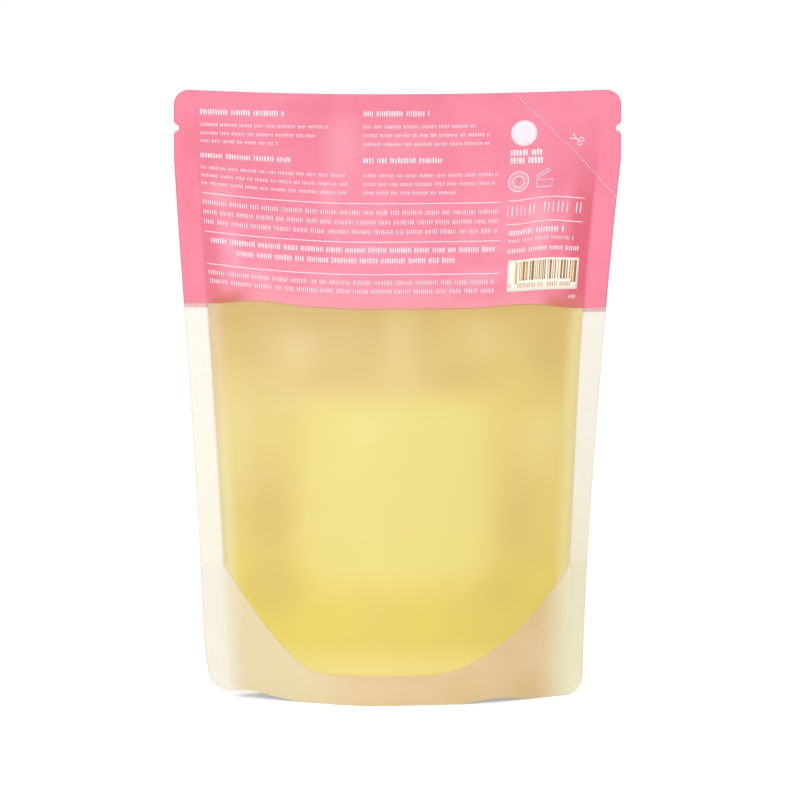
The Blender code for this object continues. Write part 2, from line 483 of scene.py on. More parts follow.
def film_values(across, z):
    """Place on the flat film, distance in from a side seal and drop below the U-shaped line."""
    scale = side_seal if abs(across) > 1 else chamber_half(z)
    reach = scale * (1 - abs(across))
    drop = seal_line(max(min(across, 1.0), -1.0)) - z
    return {"flat_x": flat_x(across), "flat_z": z, "seal_reach": reach, "line_drop": drop}


def make_panel(name, side, edge, materials):
    """One face of the pouch: side is -1 for the back and 1 for the front."""
    stations = across_stations()
    heights = panel_heights(edge)

    def station(column, row):
        across = stations[column]
        near_edge = ease(1 - abs(heights[row] - edge) / band_curve_reach)
        z = heights[row] + band_edge_rise(flat_x(across)) * near_edge
        x = across_to_x(across, z, notched=True)
        point = place(x, side * panel_offset(across, z, side), z)
        return point, across, heights[row]

    columns = len(stations) - 1
    form = mapped_grid(columns, len(heights) - 1, station)
    band_row = heights.index(min(heights, key=lambda z: abs(z - edge)))
    piece = add_piece(name, form, materials)
    for face in piece.data.polygons:
        face.material_index = int(face.index // columns >= band_row)
    return add_thickness(piece, film)


def make_gusset(material):
    """The folded bottom sheet: a leg inside each panel, and the open bowl between them."""
    stations = across_stations()
    legs = [height / gusset_height for height in corner_heights(bottom_radius)]
    legs += spread(legs[-1], 1.0, leg_rows)
    angles = spread(-math.pi / 2, math.pi / 2, bowl_rows)
    profile = [(-1, share) for share in legs]
    profile += [(math.sin(angle), None) for angle in angles[:-1]]
    profile += [(1, share) for share in reversed(legs)]

    def station(column, row):
        across = stations[column]
        share, up = profile[row]
        if up is None:
            z = bowl_height(across, share)
            rim = seal_line(across)
            side = math.copysign(1, share)
            near = panel_offset(across, rim, -1)
            far = panel_offset(across, rim, 1)
            reach = near + (far - near) * (share + 1) / 2 - ply_pitch
        else:
            z = seal_line(across) * up
            side = share
            reach = panel_offset(across, z, side) - ply_pitch
        return place(across_to_x(across, z), share * reach, z), across, z

    form = mapped_grid(len(stations) - 1, len(profile) - 1, station)
    return add_thickness(add_piece("gusset_film", form, [material]), film)


def soap_half(z):
    """Share of the chamber's half width that the liquid reaches before the panels meet it."""
    needed = max(film / 2 + soap_clearance - seal_offset(z), 0.0) / bulge(z)
    shape, power = section_powers(z)
    edge = max(1 - needed ** (1 / power), 0.0) ** (1 / shape)
    return edge * (1 - soap_edge_inset / chamber_half(z))


def make_soap(material):
    """The liquid: it fills the chamber up to its level and lies in the gusset's bowl."""
    foot_angles = [0.0] + spread(0.0, math.pi / 2, soap_foot_rows)
    foot = [(math.sin(angle), 0.0) for angle in foot_angles]
    sides = [(1.0, up) for up in spread(0.0, 1.0, soap_side_rows)]
    top = [(share, 1.0) for share in spread(1.0, 0.0, soap_top_rows)]
    profile = foot + sides + top
    foot_half = soap_half(gusset_height)
    level = soap_level + top_sag

    def station(column, row):
        turn = math.pi * column / soap_columns
        at_end = column % soap_columns == 0
        facing_across = math.cos(turn)
        across = facing_across * foot_half
        share, up = profile[row]
        clearance = soap_foot_clearance if share < 1.0 or up else soap_rim_clearance
        foot_edge = bowl_height(across, 1.0) + soap_foot_clearance
        edge = foot_edge + (level - foot_edge) * up
        z = edge if up else bowl_height(across, share) + clearance
        if at_end and not up:
            z = max(bowl_height(across, 0.0), bowl_height(across, 1.0)) + soap_foot_clearance
        across = facing_across * min(soap_half(edge), foot_half)
        facing = 0.0 if at_end else math.copysign(1.0, math.sin(turn))
        reach = panel_offset(across, edge, facing or 1) - film / 2 - soap_clearance
        x, y, height = place(across_to_x(across, z), facing * share * reach, z)
        return (x, y, soap_level if up == 1.0 else height), across, z

    form = mapped_grid(2 * soap_columns, len(profile) - 1, station)
    bmesh.ops.remove_doubles(form, verts=form.verts, dist=merge_distance)
    bmesh.ops.recalc_face_normals(form, faces=form.faces)
    if form.calc_volume(signed=True) < 0:
        bmesh.ops.reverse_faces(form, faces=form.faces)
    return add_piece("hand_soap", form, [material])


# Places on the printed artwork, from the middle of the film and down from its top edge
text_left = -0.0750
text_middle = -0.0130
text_right = 0.0400
column_left = 0.0430
column_right = 0.0728

# Print rises where the film is drawn up, beside the left seal and over the right-hand ridge
draw_up_top = -0.0010
draw_up_low = 0.0025
draw_up_start = -0.018
draw_up_full = -0.075
draw_up_power = 1.5
draw_up_limit = 1.2
draw_up_drop = 0.008
draw_up_drop_reach = 0.034
ridge_x = 0.0595
ridge_reach = 0.0140
ridge_rise = 0.0012
ridge_start = 0.028
ridge_start_reach = 0.012
ridge_fade = 0.8
ridge_fade_start = 0.050
ridge_fade_reach = 0.030
print_sag = 0.0010


def print_rise(x, drop):
    """How much higher a printed mark lies than its row's straight line."""
    leftward = max((x - draw_up_start) / (draw_up_full - draw_up_start), 0.0)
    left = min(leftward, draw_up_limit) ** draw_up_power
    lowered = ease((drop - draw_up_drop) / draw_up_drop_reach)
    amount = draw_up_top + (draw_up_low - draw_up_top) * lowered
    ridge = max(1 - ((x - ridge_x) / ridge_reach) ** 2, 0.0) ** 2
    fade = ease((drop - ridge_fade_start) / ridge_fade_reach)
    ridge *= ease((drop - ridge_start) / ridge_start_reach) * (1 - ridge_fade * fade)
    up = 1 - drop / pack_height
    sag = print_sag * max(1 - (x / (pack_width / 2)) ** 2, 0.0) * up ** sag_power
    return left * amount + ridge * ridge_rise - sag


def film_point(x, drop):
    """A point just outside the back panel, by its place on the flat artwork."""
    z = pack_height - drop + print_rise(x, drop)
    across = across_of(x)
    reach = panel_offset(across, z, -1) + film / 2 + ink_lift
    return place(across_to_x(across, z), -reach, z)


def add_quad_strip(form, low, high):
    """Faces between two rows of corners of equal length."""
    for i in range(len(low) - 1):
        form.faces.new((low[i], low[i + 1], high[i + 1], high[i]))


def steps_between(start, end):
    """Even stations from start to end, close enough to follow the film."""
    return [start] + spread(start, end, max(math.ceil(abs(end - start) / ink_step), 1))


def add_bar(form, left, right, top, bottom):
    """A filled rectangle on the film."""
    across = steps_between(left, right)
    down = steps_between(top, bottom)
    grid = [[form.verts.new(film_point(x, drop)) for x in across] for drop in down]
    for upper, lower in zip(grid, grid[1:]):
        add_quad_strip(form, lower, upper)


def add_path(form, points, width, closed=False):
    """A line of even width along points given by their place on the artwork."""
    count = len(points)
    inner = []
    outer = []
    for i, (x, drop) in enumerate(points):
        before = points[i - 1] if closed or i > 0 else points[i]
        after = points[(i + 1) % count] if closed or i < count - 1 else points[i]
        along = Vector((after[0] - before[0], after[1] - before[1])).normalized()
        side = Vector((-along.y, along.x)) * width / 2
        inner.append(film_point(x - side.x, drop - side.y))
        outer.append(film_point(x + side.x, drop + side.y))
    if closed:
        inner.append(inner[0])
        outer.append(outer[0])
    low = [form.verts.new(point) for point in outer]
    high = [form.verts.new(point) for point in inner]
    add_quad_strip(form, low, high)


def circle_points(x, drop, radius, count=40):
    """Places round a circle."""
    angles = [2 * math.pi * i / count for i in range(count)]
    return [(x + radius * math.cos(a), drop + radius * math.sin(a)) for a in angles]


def add_disc(form, x, drop, radius):
    """A filled circle on the film, in rings."""
    outer = None
    for ring in range(disc_rings):
        size = radius * (1 - ring / disc_rings)
        inner = [form.verts.new(film_point(*p)) for p in circle_points(x, drop, size)]
        inner.append(inner[0])
        if outer:
            add_quad_strip(form, inner, outer)
        outer = inner
    middle = form.verts.new(film_point(x, drop))
    for i in range(len(outer) - 1):
        form.faces.new((outer[i + 1], outer[i], middle))


# Rows of small dashes that stand for print: left, right, place of the middle, height, weight
body_weight = 0.5
headings = [
    (text_left, -0.0428, 0.0069, 0.0021, 0.62),
    (text_middle, 0.013, 0.0066, 0.0021, 0.62),
    (text_left, -0.0405, 0.0252, 0.0021, 0.62),
    (text_middle, 0.0176, 0.0248, 0.0021, 0.62),
    (-0.0728, 0.0395, 0.0592, 0.002, 0.62),
    (-0.0628, 0.024, 0.0632, 0.002, 0.62),
    (column_left, 0.0556, 0.0225, 0.0024, 0.78),
    (column_left, 0.0556, 0.0255, 0.0024, 0.78),
    (0.0442, 0.0662, 0.0533, 0.0021, 0.62),
    (0.0442, 0.0723, 0.0602, 0.0017, 0.55),
]


def rows_from(left, height, *ends):
    """Rows of even weight from one left end: their right ends and the places of their middles."""
    return [(left, right, middle, height, body_weight) for right, middle in ends]


body_rows = (
    rows_from(text_left, 0.0014, (-0.0262, 0.0119), (-0.0312, 0.0154), (-0.0452, 0.0188))
    + rows_from(text_middle, 0.0014, (0.03, 0.0117), (0.035, 0.0151), (0.0352, 0.0185))
    + rows_from(text_left, 0.0014, (-0.019, 0.0306), (-0.0185, 0.034), (-0.019, 0.0373))
    + rows_from(text_middle, 0.0014, (0.039, 0.0306), (0.038, 0.0339), (0.024, 0.0373))
    + rows_from(text_left, 0.0018, *((text_right, middle) for middle in (0.0448, 0.0485, 0.0522)))
    + rows_from(-0.0745, 0.0018, (text_right, 0.0716))
    + rows_from(-0.0742, 0.0018, (text_right, 0.0749))
    + [(0.0442, 0.07, 0.0564, 0.0015, 0.45)]
    + rows_from(0.0696, 0.0014, (0.0732, 0.0785))
)
tall_rows = [
    (column_left, 0.0545, 0.0451, 0.0042, 0.28),
    (0.0572, column_right, 0.0447, 0.0042, 0.28),
]
rules = [
    (text_left, 0.0405, 0.0413),
    (text_left, 0.041, 0.056),
    (text_left, 0.0413, 0.0684),
    (column_left, column_right, 0.0409),
    (column_left, column_right, 0.05),
]
rule_width = 0.00036

# Dashes: pitch by a row's height, number in a group, and shares of the pitch and the height
dash_pitch = 0.45
tall_dash_pitch = 0.42
tall_row_height = 0.003
dash_group = (4, 11)
dash_width = (0.75, 1.35)
dash_rises = (0.5, 0.5, 0.5, 0.6, 0.44)
dash_gap = (0.7, 1.2)
group_gap = 1.1


def add_dash_row(form, row, dice):
    """One row: dashes of uneven width and height, in groups with wider gaps between them."""
    left, right, middle, height, weight = row
    pitch = height * (dash_pitch if height < tall_row_height else tall_dash_pitch)
    x = left
    while x < right:
        for _ in range(dice.randint(*dash_group)):
            width = pitch * weight * dice.uniform(*dash_width)
            if x + width > right:
                break
            tall = height * dice.choice(dash_rises)
            add_bar(form, x, x + width, middle - tall, middle + height / 2)
            x += width + pitch * (1 - weight) * dice.uniform(*dash_gap)
        x += pitch * group_gap


def finish_print(name, form, material):
    """Turn printed faces into a piece on the back panel."""
    bmesh.ops.remove_doubles(form, verts=form.verts, dist=merge_distance)
    bmesh.ops.recalc_face_normals(form, faces=form.faces)
    return add_thickness(add_piece(name, form, [material]), ink_thickness)


def make_rows(name, rows, seed, material):
    """Rows of dashes as one piece."""
    form = bmesh.new()
    dice = random.Random(seed)
    for row in rows:
        add_dash_row(form, row, dice)
    finish_print(name, form, material)


def make_rules(material):
    """Thin lines between the blocks of print."""
    form = bmesh.new()
    for left, right, drop in rules:
        add_path(form, [(x, drop) for x in steps_between(left, right)], rule_width)
    finish_print("printed_rules", form, material)


# Round marks and small signs beside the text
disc_place = (0.0482, 0.0150)
disc_radius = 0.0050
disc_rings = 4
ring_place = (0.0467, 0.0336)
ring_radius = 0.0038
ring_line = 0.0004
ring_inner_share = 0.55
ring_ticks = 22
ring_tick_shares = (0.68, 0.88)
ring_tick_line = 0.0003
jar_place = (0.0566, 0.0350)
jar_width = 0.0060
jar_height = 0.0032
jar_lid_turn = math.radians(-32)
jar_lid_width = 0.0011
jar_lid_gap = 0.0006
jar_lid_share = 0.98
jar_line = 0.00035
jar_dip = 0.0003
cut_line_start = (0.0459, 0.0006)
cut_line_end = (0.0846, 0.0408)
cut_dash = 0.00038
cut_dash_share = 0.7
cut_pitch = 0.0013
scissors_place = (0.0682, 0.0180)
scissors_size = 0.0048
scissors_turn = math.radians(32)
scissors_open = math.radians(24)
blade_share = 0.52
grip_share = 0.22
blade_line = 0.00040
finger_ring = 0.00078
finger_ring_line = 0.00034
finger_ring_shift = 0.0009


def direction(angle):
    """The unit vector at that angle on the artwork."""
    return Vector((math.cos(angle), math.sin(angle)))


def add_jar(form):
    """A small open jar with its lid tipped up."""
    x, drop = jar_place
    left = x - jar_width / 2
    right = x + jar_width / 2
    top = drop - jar_height / 2
    bottom = drop + jar_height / 2
    body = [(left, top), (x, top + jar_dip), (right, top), (right, bottom), (left, bottom)]
    add_path(form, body, jar_line, closed=True)
    hinge = Vector((left, top - jar_lid_gap))
    along = direction(jar_lid_turn) * jar_width * jar_lid_share
    up = Vector((along.y, -along.x)).normalized() * jar_lid_width
    lid = [hinge, hinge + along, hinge + along + up, hinge + up]
    add_path(form, lid, jar_line, closed=True)


def add_scissors(form):
    """Two crossed blades with a finger ring each."""
    pivot = Vector(scissors_place)
    for side in (-1, 1):
        along = direction(scissors_turn + side * scissors_open)
        tip = pivot - along * scissors_size * blade_share
        grip = pivot + along * scissors_size * grip_share
        centre = grip + along * finger_ring_shift
        add_path(form, [tip, scissors_place, grip], blade_line)
        add_path(form, circle_points(*centre, finger_ring, 18), finger_ring_line, closed=True)


def add_cut_line(form):
    """A dotted line across the corner that is cut off to pour."""
    start = Vector(cut_line_start)
    line = Vector(cut_line_end) - start
    count = int(line.length / cut_pitch)
    for i in range(count + 1):
        middle = start + line * i / count
        half = line.normalized() * cut_dash * cut_dash_share
        add_path(form, [middle - half, middle + half], cut_dash)


def make_signs(material):
    """The disc, the ring, the jar, the scissors and the cut line."""
    form = bmesh.new()
    add_disc(form, *disc_place, disc_radius)
    for radius in (ring_radius, ring_radius * ring_inner_share):
        add_path(form, circle_points(*ring_place, radius), ring_line, closed=True)
    ends = [circle_points(*ring_place, ring_radius * share, ring_ticks) for share in ring_tick_shares]
    for tick in zip(*ends):
        add_path(form, tick, ring_tick_line)
    add_jar(form)
    add_scissors(form)
    add_cut_line(form)
    finish_print("printed_signs", form, material)


# Bar pattern on a pale box
box_left = 0.0445
box_right = 0.0728
box_top = 0.0637
box_bottom = 0.0756
bars_left = 0.0476
bars_right = 0.0712
bars_top = 0.0646
bars_bottom = 0.0716
long_bar_extra = 0.0013
last_bar_reach = 0.0006
bar_widths = (0.00036, 0.00036, 0.00072, 0.00090)
bar_gaps = (0.00036, 0.00050, 0.00080)
dark_share = 0.5
bar_seed = 5
number_rows = ((0.0448, 0.0460), (0.0486, 0.0588), (0.0606, 0.0700))
number_middle = 0.0735
number_height = 0.0016
number_weight = 0.42
upper_ink_share = 1.2


def make_bar_box(pale, dark, tan):
    """A pale box that carries upright bars of uneven width."""
    form = bmesh.new()
    add_bar(form, box_left, box_right, box_top, box_bottom)
    finish_print("pale_box", form, pale)
    dice = random.Random(bar_seed)
    dark_form = bmesh.new()
    tan_form = bmesh.new()
    x = bars_left
    while x < bars_right:
        width = dice.choice(bar_widths)
        form = dark_form if dice.random() < dark_share else tan_form
        long_bar = x == bars_left or x + width > bars_right - last_bar_reach
        bottom = bars_bottom + (long_bar_extra if long_bar else 0.0)
        add_bar(form, x, x + width, bars_top, bottom)
        x += width + dice.choice(bar_gaps)
    for left, right in number_rows:
        add_dash_row(tan_form, (left, right, number_middle, number_height, number_weight), dice)
    lift_above(finish_print("dark_bars", dark_form, dark))
    lift_above(finish_print("tan_bars", tan_form, tan))


def lift_above(piece):
    """Move ink that lies on other ink out by one more ink thickness."""
    for vertex in piece.data.vertices:
        vertex.co.y -= ink_thickness * upper_ink_share


class Nodes:
    """Short calls that add shader nodes to one material or to the world."""

    def __init__(self, owner, shader="Principled BSDF"):
        owner.use_nodes = True
        self.owner = owner
        self.tree = owner.node_tree
        self.shader = self.tree.nodes[shader]

    def fill(self, node, values):
        """Join outputs to a node's inputs, or set the inputs to plain values."""
        for label, value in values.items():
            if isinstance(value, bpy.types.NodeSocket):
                self.tree.links.new(value, node.inputs[label])
            else:
                node.inputs[label].default_value = value
        return node

    def add(self, kind, values=None):
        """A new shader node of that kind."""
        return self.fill(self.tree.nodes.new("ShaderNode" + kind), values or {})

    def attribute(self, name):
        """A value stored at the mesh's vertices."""
        node = self.add("Attribute")
        node.attribute_name = name
        return node.outputs["Fac"]

    def place(self):
        """The point's place on the piece."""
        return self.add("TexCoord").outputs["Object"]

    def axis(self, name):
        """One coordinate of the point's place."""
        return self.add("SeparateXYZ", {0: self.place()}).outputs[name]

    def math(self, operation, first, second=0.0):
        """A calculation on one or two values."""
        node = self.add("Math", {0: first, 1: second})
        node.operation = operation
        return node.outputs[0]

    def product(self, first, second):
        """One value times another."""
        return self.math("MULTIPLY", first, second)

    def ramp(self, value, start, end, low=0.0, high=1.0):
        """Ease from low to high as the value runs from start to end."""
        ends = {"From Min": start, "From Max": end, "To Min": low, "To Max": high}
        node = self.add("MapRange", {"Value": value, **ends})
        node.interpolation_type = "SMOOTHSTEP"
        return node.outputs["Result"]

    def cloud(self, size, detail=2.0, seed=0.0):
        """Smooth noise whose features are about that size."""
        moved = self.add("Mapping", {"Vector": self.place(), "Location": (seed, seed, seed)})
        values = {"Vector": moved.outputs[0], "Scale": 1 / size, "Detail": detail}
        return self.add("TexNoise", values).outputs["Fac"]

    def mix(self, share, *colours):
        """Blend two colours, each an output or screen values of 0 to 255."""
        first, second = (srgb(*c) if isinstance(c, tuple) else c for c in colours)
        node = self.add("Mix")
        node.data_type = "RGBA"
        self.fill(node, {"Factor": share, "A": first, "B": second})
        return node.outputs["Result"]

    def tint(self, colour, tone, value, start, end, share):
        """Blend a tone into a colour, up to that share, as the value runs from start to end."""
        return self.mix(self.ramp(value, start, end, 0.0, share), colour, tone)

    def bump(self, size, detail, strength, distance):
        """Fine relief of small clouds."""
        height = self.cloud(size, detail, 0.8)
        node = self.add("Bump", {"Strength": strength, "Distance": distance, "Height": height})
        self.fill(self.shader, {"Normal": node.outputs["Normal"]})

    def finish(self, colour, size, detail, least, most, alpha=1.0, specular=0.5):
        """Set the shader's main sockets, with a cloudy roughness between least and most."""
        roughness = self.ramp(self.cloud(size, detail, 0.5), 0.3, 0.7, least, most)
        values = {"Base Color": colour, "Roughness": roughness, "Alpha": alpha}
        self.fill(self.shader, {**values, "Specular IOR Level": specular})
        return self.owner

    def seen_white(self):
        """1 for rays that see the surround itself: camera, glossy and transmission rays."""
        rays = self.add("LightPath").outputs
        seen = self.math("MAXIMUM", rays["Is Camera Ray"], rays["Is Glossy Ray"])
        return self.math("MAXIMUM", seen, rays["Is Transmission Ray"])


def new_material(name):
    """The nodes of a new material."""
    return Nodes(bpy.data.materials.new(name))


def srgb(red, green, blue):
    """A colour given in screen values of 0 to 255, as the shader takes it."""
    def linear(value):
        share = value / 255
        return share / 12.92 if share <= 0.04045 else ((share + 0.055) / 1.055) ** 2.4
    return (linear(red), linear(green), linear(blue), 1.0)


# Painted shade: the band's colour is deeper on the slopes beside the side seals, from this height down
slope_shade_top = 0.2150
slope_shade_top_reach = 0.030

# Painted shade in the band's dents and folds, on the side that faces the camera: middle across and up,
# reach and strength
band_painted_shades = [
    (-0.052, 0.1905, 0.026, 0.012, 0.35),
    (-0.0345, 0.175, 0.012, 0.011, 0.4),
    (-0.044, 0.216, 0.016, 0.01, 0.2),
    (-0.026, 0.227, 0.028, 0.006, 0.3),
    (-0.08, 0.195, 0.006, 0.033, 0.3),
    (0.0745, 0.212, 0.007, 0.015, 0.4),
    (0.068, 0.204, 0.008, 0.012, 0.4),
    (0.0615, 0.196, 0.007, 0.012, 0.45),
    (0.079, 0.18, 0.006, 0.03, 0.15),
    (-0.069, 0.212, 0.02, 0.018, 0.42),
    (-0.032, 0.216, 0.013, 0.02, 0.18),
    (0.059, 0.206, 0.018, 0.014, 0.22),
    (-0.054, 0.1985, 0.012, 0.012, 0.34),
    (0.059, 0.1965, 0.013, 0.008, 0.42),
    (-0.079, 0.215, 0.01, 0.014, 0.3),
    (-0.03, 0.189, 0.008, 0.007, 0.32),
    (0.064, 0.176, 0.006, 0.016, 0.3),
    (0.059, 0.201, 0.011, 0.013, 0.25),
]
# Painted highlights on the band's ridges, in the same columns
band_painted_highlights = [
    (-0.0205, 0.212, 0.011, 0.02, 0.36),
    (-0.027, 0.194, 0.007, 0.012, 0.35),
    (-0.064, 0.17, 0.006, 0.018, 0.35),
    (-0.069, 0.193, 0.013, 0.008, 0.36),
    (0.006, 0.213, 0.028, 0.011, 0.3),
    (0.045, 0.216, 0.01, 0.008, 0.3),
    (0.056, 0.184, 0.007, 0.022, 0.55),
    (0.002, 0.156, 0.05, 0.007, 0.25),
    (0.033, 0.163, 0.016, 0.007, 0.35),
    (-0.056, 0.161, 0.009, 0.007, 0.4),
]


def add_spots(nodes, colour, tone, spots, x, z, near):
    """Blend soft tones of one colour into another, on the side where near is 1."""
    for spot in spots:
        share = nodes.product(soft_spot(nodes, x, z, spot), near)
        colour = nodes.mix(share, colour, tone)
    return colour


def distance(nodes, first, second):
    """Length of the line with those two parts."""
    squares = nodes.math("ADD", nodes.product(first, first), nodes.product(second, second))
    return nodes.math("SQRT", squares)


def soft_spot(nodes, x, z, spot):
    """Share of one soft tone: full at its middle and none beyond its reach."""
    centre_x, centre_z, reach_x, reach_z, strength = spot
    across = nodes.math("DIVIDE", nodes.math("SUBTRACT", x, centre_x), reach_x)
    up = nodes.math("DIVIDE", nodes.math("SUBTRACT", z, centre_z), reach_z)
    return nodes.ramp(distance(nodes, across, up), 1.0, 0.0, 0.0, strength)


def band_material(name):
    """Pink printed film with painted shade on the slopes beside the seals and in its dents, and painted
    highlights on its ridges; warmer where the liquid stands behind its lower edge, and darker there
    beside the seals as painted shade of the side valleys.
    """
    nodes = new_material(name)
    tone = nodes.ramp(nodes.cloud(0.035, 3.0), 0.35, 0.65)
    colour = nodes.mix(tone, (239, 128, 152), (244, 143, 167))
    fine = nodes.cloud(0.007, 3.0, 0.3)
    colour = nodes.tint(colour, (242, 151, 173), fine, 0.35, 0.75, 0.45)
    z = nodes.attribute("flat_z")
    reach = nodes.attribute("seal_reach")
    across = nodes.attribute("flat_x")
    colour = nodes.tint(colour, (236, 122, 147), z, 0.188, 0.202, 0.35)
    colour = nodes.tint(colour, (249, 133, 156), reach, 0.0010, -0.0006, 0.70)
    # Painted shade on the slopes beside the side seals, stronger on the right
    rightward = nodes.ramp(across, -0.01, 0.01)
    slope_shade_end = nodes.math("ADD", 0.0085, nodes.product(rightward, 0.0030))
    slope_shade = nodes.ramp(nodes.math("DIVIDE", reach, slope_shade_end), 1.0, 0.45)
    slope_shade = nodes.product(slope_shade, nodes.ramp(reach, -0.0008, 0.0012))
    slope_shade = nodes.product(slope_shade, nodes.ramp(z, slope_shade_top, slope_shade_top - slope_shade_top_reach))
    strength = nodes.math("ADD", 0.55, nodes.product(rightward, 0.40))
    colour = nodes.mix(nodes.product(slope_shade, strength), colour, (222, 98, 118))
    near = nodes.ramp(nodes.axis("Y"), 0.002, -0.002)
    # Painted shade in the film's dents and folds, and painted highlights on its ridges, on the side that
    # faces the camera
    colour = add_spots(nodes, colour, (226, 106, 130), band_painted_shades, across, z, near)
    colour = add_spots(nodes, colour, (253, 178, 196), band_painted_highlights, across, z, near)
    # At the lower edge the liquid behind the film warms the pink; beside the seals it is also darker, as
    # painted shade of the side valleys
    low = nodes.ramp(z, band_edge + 0.007, band_edge + 0.0005)
    inside = nodes.ramp(reach, 0.0, 0.004)
    beside = nodes.ramp(reach, 0.020, 0.010)
    wet = nodes.product(low, inside)
    colour = nodes.mix(nodes.product(wet, 0.5), colour, (243, 160, 160))
    colour = nodes.mix(nodes.product(wet, nodes.product(beside, 0.85)), colour, (206, 108, 92))
    nodes.bump(0.0022, 4.0, 0.10, 0.0004)
    return nodes.finish(colour, 0.012, 3.0, 0.40, 0.52, specular=0.35)


def skirt_colour(nodes):
    """Beige of the stacked film below the liquid, partly painted shade of the hollow under the pouch:
    deeper to the right, pale in the side seals.
    """
    reach = nodes.attribute("seal_reach")
    across = nodes.attribute("flat_x")
    rightward = nodes.ramp(across, -0.015, 0.015)
    left_part = nodes.mix(nodes.ramp(across, -0.042, -0.008), (249, 236, 199), (244, 217, 170))
    beige = nodes.mix(nodes.ramp(across, 0.012, 0.034), left_part, (241, 216, 165))
    beige = nodes.tint(beige, (252, 235, 200), nodes.cloud(0.020, 3.0, 0.2), 0.35, 0.65, 0.35)
    left_edge = nodes.ramp(reach, 0.0085, -0.0030)
    right_edge = nodes.ramp(reach, 0.0135, -0.0040)
    pale = nodes.mix(rightward, (255, 252, 242), (255, 250, 226))
    leftward = nodes.math("SUBTRACT", 1.0, rightward)
    edge = nodes.math("ADD", nodes.product(left_edge, leftward), nodes.product(right_edge, rightward))
    return nodes.mix(edge, beige, pale)


def clear_film_material(name):
    """Frosted clear film: faint over the liquid, creamy in the seals, beige on the skirt."""
    nodes = new_material(name)
    reach = nodes.attribute("seal_reach")
    drop = nodes.attribute("line_drop")
    z = nodes.attribute("flat_z")
    rightward = nodes.ramp(nodes.attribute("flat_x"), -0.015, 0.015)
    in_seal = nodes.ramp(reach, 0.0002, -0.0003)
    beside_seal = nodes.ramp(reach, 0.0040, -0.0010)
    skirt = nodes.ramp(drop, -0.0005, 0.0005)
    above_line = nodes.ramp(drop, -0.0016, 0.0002)
    left_seal = nodes.mix(nodes.ramp(z, 0.02, 0.15), (252, 244, 220), (254, 249, 238))
    right_seal = nodes.mix(nodes.ramp(z, 0.04, 0.15), (249, 244, 210), (250, 243, 228))
    seal = nodes.mix(rightward, left_seal, right_seal)
    colour = nodes.mix(in_seal, (242, 228, 190), seal)
    colour = nodes.mix(above_line, colour, skirt_colour(nodes))
    alpha = nodes.math("ADD", nodes.product(beside_seal, 0.26), 0.012)
    alpha = nodes.math("MAXIMUM", alpha, nodes.product(above_line, 0.28))
    deeper = nodes.ramp(z, 0.085, gusset_height, 0.0, 0.05)
    seal_alpha = nodes.math("ADD", 0.27, nodes.product(deeper, rightward))
    alpha = nodes.math("MAXIMUM", alpha, nodes.product(in_seal, seal_alpha))
    alpha = nodes.math("MAXIMUM", alpha, nodes.product(skirt, 0.30))
    nodes.bump(0.0018, 4.0, 0.08, 0.0003)
    return nodes.finish(colour, 0.012, 3.0, 0.34, 0.48, alpha, specular=0.35)


def gusset_material():
    """Beige inner sheet of the base, partly painted shade of the hollow under the pouch, paler towards
    the side seals.
    """
    nodes = new_material("gusset_film")
    nodes.bump(0.0018, 4.0, 0.08, 0.0003)
    return nodes.finish(skirt_colour(nodes), 0.012, 3.0, 0.34, 0.48)


# The pale square that shows through the liquid: middle, half its size, soft edge and corner
square_centre = (-0.0005, 0.0799)
square_half = (0.0356, 0.0350)
square_soft = 0.018
square_corner = 0.012

# Soft tones on the side that faces the camera: place of the middle across and up, reach and strength;
# the first three darker ones, at the top and its two upper corners, are painted shade under the band and
# its side valleys
tan_tones_and_painted_shade = [
    (0.001, 0.147, 0.06, 0.04, 0.42),
    (0.058, 0.137, 0.016, 0.03, 0.62),
    (-0.059, 0.14, 0.013, 0.028, 0.34),
    (-0.026, 0.125, 0.023, 0.011, 0.4),
    (0.024, 0.1235, 0.022, 0.011, 0.42),
    (-0.049, 0.072, 0.016, 0.03, 0.42),
    (-0.047, 0.044, 0.019, 0.016, 0.4),
    (0.0455, 0.07, 0.015, 0.028, 0.42),
    (0.038, 0.043, 0.015, 0.014, 0.28),
]
pale_tones = [
    (0.0009, 0.136, 0.012, 0.03, 0.3),
    (-0.063, 0.108, 0.013, 0.034, 0.42),
    (-0.038, 0.133, 0.011, 0.014, 0.28),
    (0.033, 0.138, 0.012, 0.013, 0.2),
    (0.056, 0.1, 0.017, 0.022, 0.22),
    (-0.008, 0.106, 0.024, 0.012, 0.22),
]


def square_share(nodes, x, z):
    """Share of the pale square, with round corners and soft edges."""
    beyond = []
    for at, centre, half in zip((x, z), square_centre, square_half):
        away = nodes.math("ABSOLUTE", nodes.math("SUBTRACT", at, centre))
        away = nodes.math("SUBTRACT", away, half - square_corner)
        beyond.append(nodes.math("MAXIMUM", away, 0.0))
    away = nodes.math("SUBTRACT", distance(nodes, *beyond), square_corner)
    return nodes.ramp(away, square_soft / 2, -square_soft / 2)


